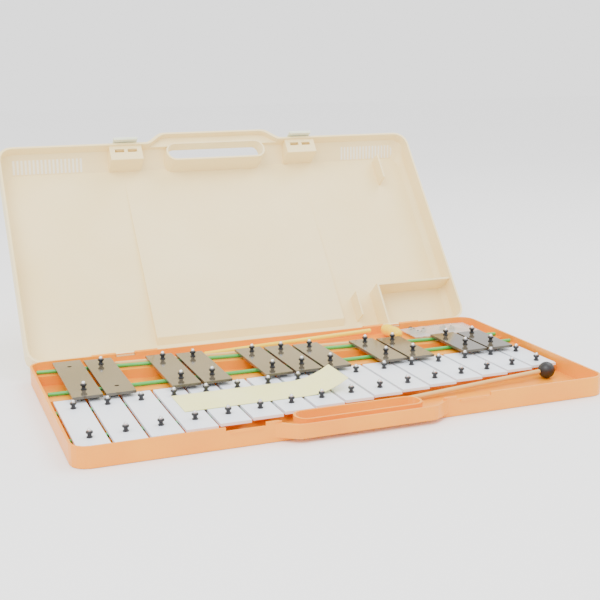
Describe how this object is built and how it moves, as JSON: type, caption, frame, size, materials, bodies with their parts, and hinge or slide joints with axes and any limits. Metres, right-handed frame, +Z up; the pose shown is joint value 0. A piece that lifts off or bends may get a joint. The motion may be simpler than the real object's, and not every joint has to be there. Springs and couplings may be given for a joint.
{
  "type": "metallophone",
  "caption": "Chromatic tuned-bar metallophone in a hinged plastic carrying case, its lid open, with beaters and spare pegs.",
  "frame": {"origin": "centre of the case's underside", "axes": "+X along the case, +Y to the hinges, +Z up"},
  "size_m": [0.458, 0.4183, 0.2105],
  "materials": {
    "orange_plastic": "moulded, satin",
    "cream_plastic": "moulded, satin",
    "white_bar": "matt white",
    "dark_bar": "glossy dark brown",
    "green_tube": "smooth",
    "black_rubber": "matt",
    "steel": "bright",
    "latch_plastic": "pale, slightly clear",
    "mallet_wood": "plain",
    "yellow_plastic": "smooth",
    "paper": "matt paper",
    "film": "thin film"
  },
  "bodies": {
    "case": {"base_tray": "orange_plastic", "bar_g5": "white_bar", "bar_a5": "white_bar", "bar_b5": "white_bar", "bar_c6": "white_bar", "bar_d6": "white_bar", "bar_e6": "white_bar", "bar_f6": "white_bar", "bar_g6": "white_bar", "bar_a6": "white_bar", "bar_b6": "white_bar", "bar_c7": "white_bar", "bar_d7": "white_bar", "bar_e7": "white_bar", "bar_f7": "white_bar", "bar_g7": "white_bar", "bar_a7": "white_bar", "bar_gs5": "dark_bar", "bar_as5": "dark_bar", "bar_cs6": "dark_bar", "bar_ds6": "dark_bar", "bar_fs6": "dark_bar", "bar_gs6": "dark_bar", "bar_as6": "dark_bar", "bar_cs7": "dark_bar", "bar_ds7": "dark_bar", "bar_fs7": "dark_bar", "bar_gs7": "dark_bar", "tube_natural_front": "green_tube", "tube_natural_back": "green_tube", "tube_accidental_front": "green_tube", "tube_accidental_back": "green_tube", "pegs_natural_front": "black_rubber", "pegs_natural_back": "black_rubber", "pegs_accidental_front": "black_rubber", "pegs_accidental_back": "black_rubber", "hinge_pin_left": "steel", "hinge_pin_right": "steel", "note_label_sheet": "paper", "spare_peg_bag": "film"},
    "lid_body": {"lid": "cream_plastic", "latch_pin_left": "steel", "latch_pin_right": "steel"},
    "latch_left_body": {"latch_left": "latch_plastic"},
    "latch_right_body": {"latch_right": "latch_plastic"},
    "front_mallet": {"front_mallet_head": "black_rubber", "front_mallet_stick": "mallet_wood"},
    "yellow_mallet": {"yellow_mallet_head": "yellow_plastic", "yellow_mallet_stick": "yellow_plastic"},
    "back_mallet": {"back_mallet_stick": "mallet_wood"}
  },
  "joints": [
    {"name": "lid_hinge", "type": "hinge", "parent": "case", "child": "lid_body", "pos_m": [0, 0.121, 0.0148], "axis": [1, 0, 0], "range_deg": [0, 128.7]},
    {"name": "latch_left_hinge", "type": "hinge", "parent": "lid_body", "child": "latch_left_body", "pos_m": [-0.098, 0.28142, 0.19777], "axis": [-1, 0, 0], "range_deg": [0, 80]},
    {"name": "latch_right_hinge", "type": "hinge", "parent": "lid_body", "child": "latch_right_body", "pos_m": [0.098, 0.28142, 0.19777], "axis": [-1, 0, 0], "range_deg": [0, 80]},
    {"name": "front_mallet_lift", "type": "slide", "parent": "case", "child": "front_mallet", "axis": [0, 0, 1], "range_m": [0, 0.01]},
    {"name": "yellow_mallet_lift", "type": "slide", "parent": "case", "child": "yellow_mallet", "axis": [0, 0, 1], "range_m": [0, 0.01]},
    {"name": "back_mallet_lift", "type": "slide", "parent": "case", "child": "back_mallet", "axis": [0, 0, 1], "range_m": [0, 0.01]}
  ]
}
